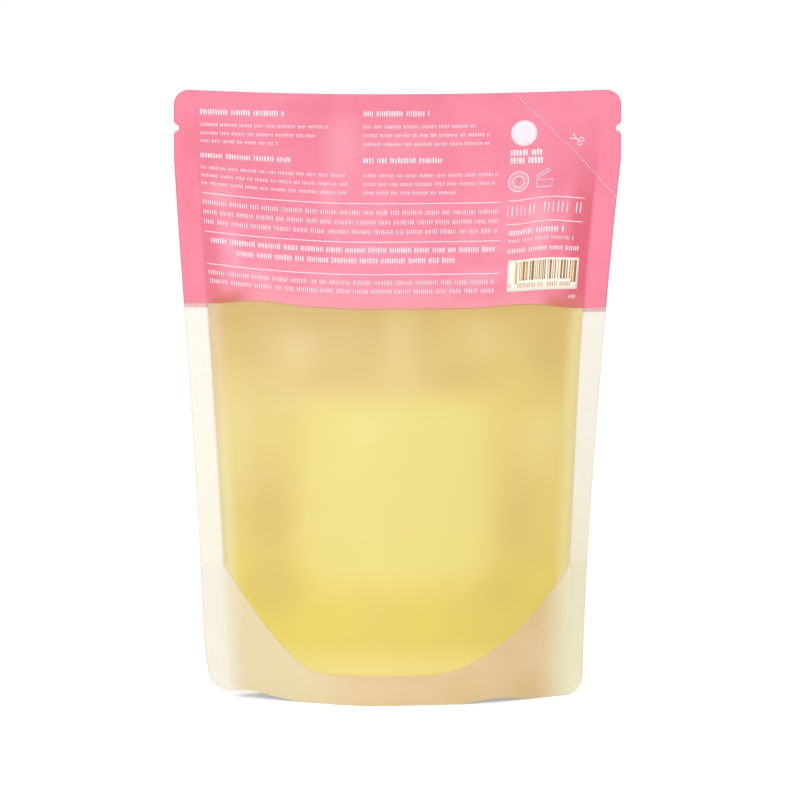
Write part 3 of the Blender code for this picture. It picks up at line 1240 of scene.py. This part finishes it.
def soap_material():
    """Yellow liquid: tan at the top, painted as the band's pink light spread into it, with painted shade
    just under the band; stronger low down, with a soft pale square in its middle, and paler towards the
    seals as painted light.
    """
    nodes = new_material("hand_soap")
    x = nodes.axis("X")
    z = nodes.axis("Z")
    near = nodes.ramp(nodes.axis("Y"), 0.004, -0.004)
    colour = nodes.mix(nodes.ramp(z, 0.090, 0.030), (231, 211, 134), (232, 211, 100))
    # Tan at the top: painted light, the band's pink light spread into the liquid
    colour = nodes.tint(colour, (218, 190, 131), z, 0.105, 0.145, 1.0)
    # Painted shade just under the band
    colour = nodes.tint(colour, (206, 164, 96), z, 0.137, 0.149, 0.42)
    colour = nodes.tint(colour, (223, 196, 92), x, -0.020, 0.055, 0.35)
    colour = nodes.tint(colour, (224, 196, 108), nodes.cloud(0.020, 3.0, 0.1), 0.40, 0.68, 0.30)
    # More painted shade just under the band, towards the right
    under_band_shade = nodes.product(nodes.ramp(z, 0.1462, 0.1502, 0.0, 0.34), nodes.ramp(x, -0.030, 0.0))
    colour = nodes.mix(under_band_shade, colour, (206, 164, 96))
    colour = nodes.tint(colour, (241, 227, 144), z, 0.0260, 0.0130, 0.60)
    in_square = nodes.product(square_share(nodes, x, z), near)
    colour = nodes.mix(nodes.product(in_square, 0.72), colour, (235, 222, 131))
    colour = add_spots(nodes, colour, (212, 178, 104), tan_tones_and_painted_shade, x, z, near)
    colour = add_spots(nodes, colour, (238, 222, 160), pale_tones, x, z, near)
    # Paler towards the seals: painted light that lifts the shade on the slopes beside them
    reach = nodes.attribute("seal_reach")
    rightward = nodes.ramp(x, -0.01, 0.01)
    upper = nodes.ramp(z, 0.090, 0.130)
    left_edge = nodes.mix(upper, (246, 238, 194), (238, 214, 184))
    edge = nodes.mix(rightward, left_edge, (246, 234, 176))
    colour = nodes.mix(nodes.ramp(reach, 0.0080, 0.0, 0.0, 0.70), colour, edge)
    drop = nodes.attribute("line_drop")
    colour = nodes.tint(colour, (243, 224, 170), drop, -0.0012, 0.0, 0.70)
    nodes.bump(0.004, 2.0, 0.05, 0.0003)
    return nodes.finish(colour, 0.015, 2.0, 0.32, 0.42, specular=0.30)


def ink_material(name, colour, other):
    """Flat ink with a slight unevenness."""
    nodes = new_material(name)
    uneven = nodes.ramp(nodes.cloud(0.0014, 3.0), 0.35, 0.65)
    return nodes.finish(nodes.mix(uneven, colour, other), 0.003, 2.0, 0.40, 0.50)


# Lamps: place, size and power of a broad front key a little to the left, and of a weaker fill
lamps = {
    "key": ((-0.9, -2.5, 1.2), 1.8, 27.0),
    "fill": ((1.6, -1.8, 0.9), 1.4, 5.0),
}

# Even surround and floor
surround_strength = 0.70
floor_size = 60.0
floor_glow = 0.38
floor_grey = 0.93
white = (1.0, 1.0, 1.0, 1.0)


def add_lamp(name, location, size, power):
    """A square soft lamp that faces the pouch."""
    lamp = bpy.data.lights.new(name, "AREA")
    lamp.shape = "SQUARE"
    lamp.size = size
    lamp.energy = power
    holder = add_object(name, lamp)
    holder.location = location
    aim = Vector(camera_aim) - Vector(location)
    holder.rotation_euler = aim.to_track_quat("-Z", "Y").to_euler()


def add_world():
    """White all round as it is seen, and a weaker even light on the pouch."""
    world = bpy.data.worlds.new("surround")
    bpy.context.scene.world = world
    nodes = Nodes(world, "Background")
    ends = {"To Min": surround_strength, "To Max": 1.0}
    strength = nodes.add("MapRange", {"Value": nodes.seen_white(), **ends})
    nodes.fill(nodes.shader, {"Color": white, "Strength": strength.outputs["Result"]})


def add_floor():
    """A white floor that keeps the pouch's soft shadow."""
    sheet = bmesh.new()
    bmesh.ops.create_grid(sheet, x_segments=1, y_segments=1, size=floor_size / 2)
    floor = add_form("floor", sheet)
    floor.location = (0.0, 0.0, -film / 2)
    nodes = new_material("floor_white")
    nodes.fill(nodes.shader, {
        "Base Color": (floor_grey, floor_grey, floor_grey, 1.0),
        "Roughness": 0.9,
        "Specular IOR Level": 0.0,
        "Emission Color": white,
        "Emission Strength": nodes.product(nodes.seen_white(), floor_glow),
    })
    floor.data.materials.append(nodes.owner)


def add_camera():
    """The camera at the photograph's place."""
    data = bpy.data.cameras.new("camera")
    data.sensor_width = sensor_width
    data.lens = sensor_width * camera_distance / (image_width * metres_per_pixel)
    camera = add_object("camera", data)
    back = -camera_distance * math.cos(camera_elevation)
    up = camera_distance * math.sin(camera_elevation)
    camera.location = Vector(camera_aim) + Vector((0.0, back, up))
    camera.rotation_euler = (math.pi / 2 - camera_elevation, 0.0, 0.0)
    bpy.context.scene.camera = camera


def build():
    """Dress the pouch and set up the camera, floor and light."""
    add_camera()
    add_world()
    add_floor()
    for name, (location, size, power) in lamps.items():
        add_lamp(name, location, size, power)
    clear = clear_film_material("clear_film")
    band = band_material("pink_film")
    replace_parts(make_panel("back_film", -1, band_edge, [clear, band]), "back_panel")
    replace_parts(make_panel("front_film", 1, band_edge - front_band_drop, [clear, band]), "front_panel")
    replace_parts(make_gusset(gusset_material()), "bottom_gusset")
    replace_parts(make_soap(soap_material()), "liquid_soap")
    pale_ink = ink_material("pale_pink_ink", (255, 226, 234), (254, 214, 224))
    white_ink = ink_material("near_white_ink", (255, 236, 243), (255, 228, 238))
    make_rows("printed_headings", headings, 11, white_ink)
    make_rows("printed_rows", body_rows, 12, pale_ink)
    make_rows("tall_printed_rows", tall_rows, 13, pale_ink)
    make_rules(white_ink)
    make_signs(white_ink)
    make_bar_box(
        ink_material("cream_ink", (253, 245, 232), (250, 240, 224)),
        ink_material("brown_ink", (172, 112, 32), (140, 92, 36)),
        ink_material("tan_ink", (226, 184, 112), (206, 176, 124)))
    bpy.context.scene.view_settings.view_transform = "Standard"


build()
